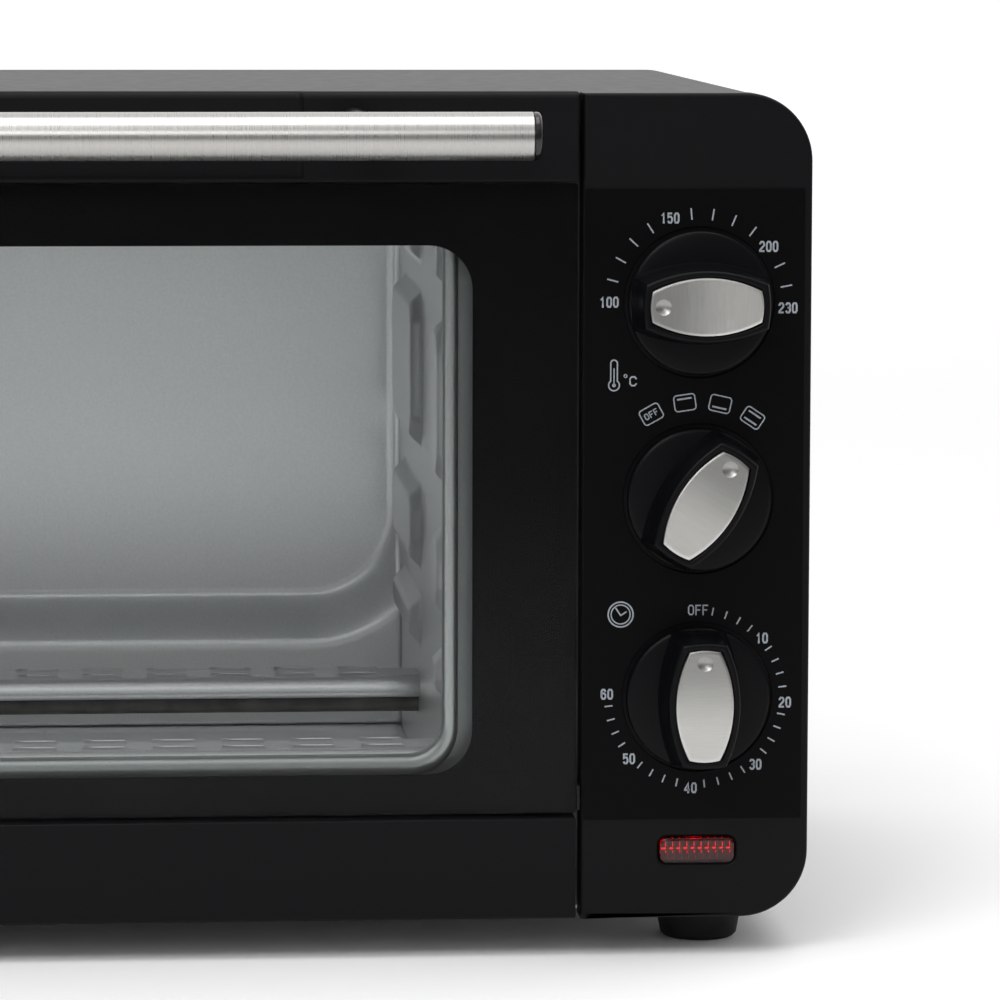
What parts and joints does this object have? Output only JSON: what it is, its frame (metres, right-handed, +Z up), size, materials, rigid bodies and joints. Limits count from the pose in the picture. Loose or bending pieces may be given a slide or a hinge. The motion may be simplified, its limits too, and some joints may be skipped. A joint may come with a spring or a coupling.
{
  "type": "toaster oven",
  "caption": "Countertop mini oven: black body, drop-down glass door with a brushed bar handle, three rotary knobs, an indicator lamp and a galvanised cavity with covered heaters.",
  "frame": {"origin": "under the middle of the oven, on the surface that the feet stand on", "axes": "+X to the right seen from the front, +Y from the door to the back, +Z up"},
  "size_m": [0.42, 0.3216, 0.2496],
  "materials": {
    "black_moulding": "satin, finely textured black ABS",
    "control_print": "satin black plate with pale printed scales",
    "painted_steel": "black powder coat",
    "galvanised_steel": "satin galvanised sheet",
    "brushed_steel": "brushed",
    "heater_sheath": "dull oxidised tube",
    "rubber": "matt",
    "switch_plastic": "matt",
    "red_lens": "clear red, ribbed inside",
    "door_glass": "clear, tempered, with a black printed border"
  },
  "bodies": {
    "cabinet": {"wrap_cover": "painted_steel", "rear_panel": "painted_steel", "rear_screw_lower_left": "galvanised_steel", "rear_screw_lower_right": "galvanised_steel", "rear_screw_upper_left": "galvanised_steel", "rear_screw_upper_right": "galvanised_steel", "rear_spacer_left": "black_moulding", "rear_spacer_right": "black_moulding", "cord_gland": "black_moulding", "base_plate": "galvanised_steel", "foot_front_left": "rubber", "foot_front_right": "rubber", "foot_rear_left": "rubber", "foot_rear_right": "rubber", "control_panel_frame": "black_moulding", "left_pillar": "black_moulding", "bottom_trim": "black_moulding", "control_plate": "control_print", "indicator_lens": "red_lens", "indicator_lamp": "red_lens", "front_plate": "galvanised_steel", "cavity_right_wall": "galvanised_steel", "cavity_left_wall": "galvanised_steel", "cavity_back": "galvanised_steel", "cavity_ceiling": "galvanised_steel", "cavity_floor": "galvanised_steel", "heater_lower_front": "heater_sheath", "heater_lower_rear": "heater_sheath", "heater_upper_front": "heater_sheath", "heater_upper_rear": "heater_sheath", "heater_bracket_lower_left": "galvanised_steel", "heater_bracket_lower_right": "galvanised_steel", "heater_bracket_upper_left": "galvanised_steel", "heater_bracket_upper_right": "galvanised_steel", "heater_cover_front": "galvanised_steel", "heater_cover_rear": "galvanised_steel", "heat_shield": "galvanised_steel", "thermostat": "switch_plastic", "function_switch": "switch_plastic", "timer_mechanism": "switch_plastic"},
    "door": {"door_rail": "black_moulding", "door_glass": "door_glass", "door_inner_frame": "black_moulding", "hinge_bracket_right": "galvanised_steel", "hinge_bracket_left": "galvanised_steel", "handle_bar": "brushed_steel", "handle_cap_left": "black_moulding", "handle_cap_right": "black_moulding", "handle_post_left": "black_moulding", "handle_post_right": "black_moulding"},
    "temperature_knob": {"knob_temperature": "black_moulding", "knob_temperature_insert": "brushed_steel", "knob_temperature_shaft": "galvanised_steel"},
    "function_knob": {"knob_function": "black_moulding", "knob_function_insert": "brushed_steel", "knob_function_shaft": "galvanised_steel"},
    "timer_knob": {"knob_timer": "black_moulding", "knob_timer_insert": "brushed_steel", "knob_timer_shaft": "galvanised_steel"}
  },
  "joints": [
    {"name": "door_hinge", "type": "hinge", "parent": "cabinet", "child": "door", "pos_m": [-0.023, -0.1172, 0.0448], "axis": [1, 0, 0], "range_deg": [0, 90], "stiffness_Nm_per_rad": 0.3, "springref_deg": -28.65},
    {"name": "knob_temperature_turn", "type": "hinge", "parent": "cabinet", "child": "temperature_knob", "pos_m": [0.1775, -0.12, 0.1893], "axis": [0, 1, 0], "range_deg": [0, 180]},
    {"name": "knob_function_turn", "type": "hinge", "parent": "cabinet", "child": "function_knob", "pos_m": [0.1775, -0.12, 0.1329], "axis": [0, 1, 0], "range_deg": [-63, 0]},
    {"name": "knob_timer_turn", "type": "hinge", "parent": "cabinet", "child": "timer_knob", "pos_m": [0.1775, -0.12, 0.0755], "axis": [0, 1, 0], "range_deg": [0, 272]}
  ]
}
